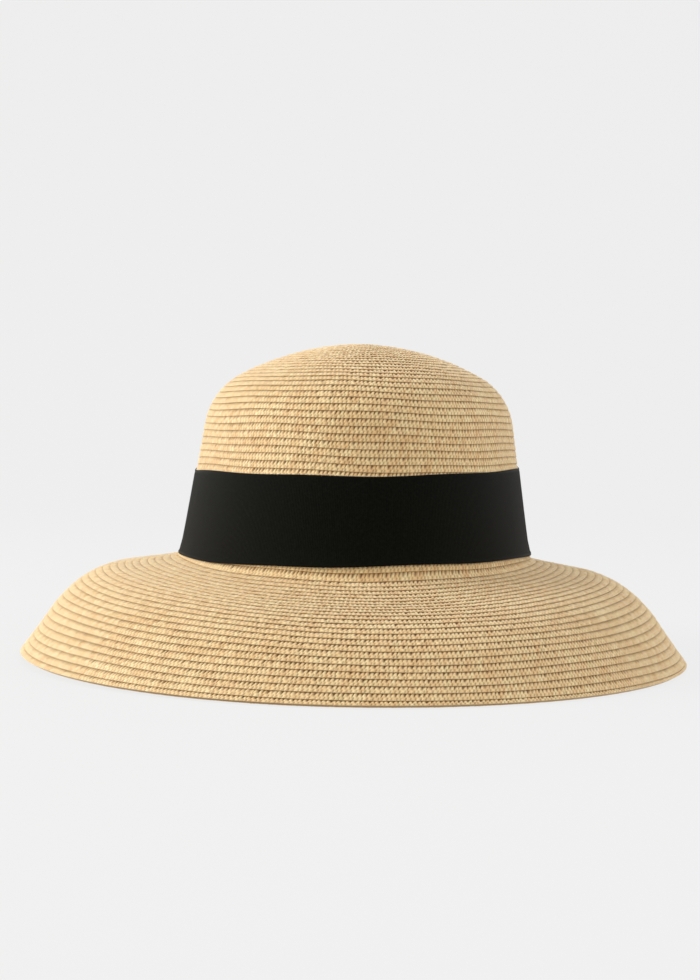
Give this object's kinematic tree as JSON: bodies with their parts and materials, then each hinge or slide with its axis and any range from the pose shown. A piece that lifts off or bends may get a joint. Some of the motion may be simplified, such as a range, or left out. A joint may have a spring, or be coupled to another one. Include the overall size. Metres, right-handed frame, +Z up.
{
  "type": "straw sun hat",
  "caption": "Wide-brimmed straw sun hat of sewn braid: rounded oval crown, bell-shaped brim, plain dark ribbon round the crown and a cloth sweatband inside.",
  "frame": {"origin": "middle of the oval on which the brim's edge rests", "axes": "+Z up through the crown, +Y towards the back of the hat, +X to the side"},
  "size_m": [0.3326, 0.3606, 0.1554],
  "materials": {
    "straw_braid": "fine paper-straw braid, satin, sewn in overlapping rows",
    "grosgrain": "matte black grosgrain ribbon with fine cross ribs",
    "sweatband_cloth": "matte tan cotton twill",
    "label_cloth": "satin off-white woven tape, blank",
    "straw_thread": "matte straw-coloured sewing thread",
    "black_thread": "matte black sewing thread",
    "spring_wire": "bright drawn spring wire"
  },
  "bodies": {
    "hat": {"crown_tip": "straw_braid", "crown_side": "straw_braid", "brim": "straw_braid", "brim_wire": "spring_wire", "wire_sleeve": "spring_wire", "hat_ribbon": "grosgrain", "ribbon_keeper": "grosgrain", "ribbon_tacks": "black_thread", "sweatband": "sweatband_cloth", "sweatband_stitches": "straw_thread", "label_margin": "label_cloth", "size_label": "label_cloth", "label_stitches": "straw_thread"},
    "label": {"care_label": "label_cloth"}
  },
  "joints": [
    {"name": "care_label_swing", "type": "hinge", "parent": "hat", "child": "label", "pos_m": [0, 0.09246, 0.07155], "axis": [-1, 0, 0], "range_deg": [-6, 110]}
  ]
}
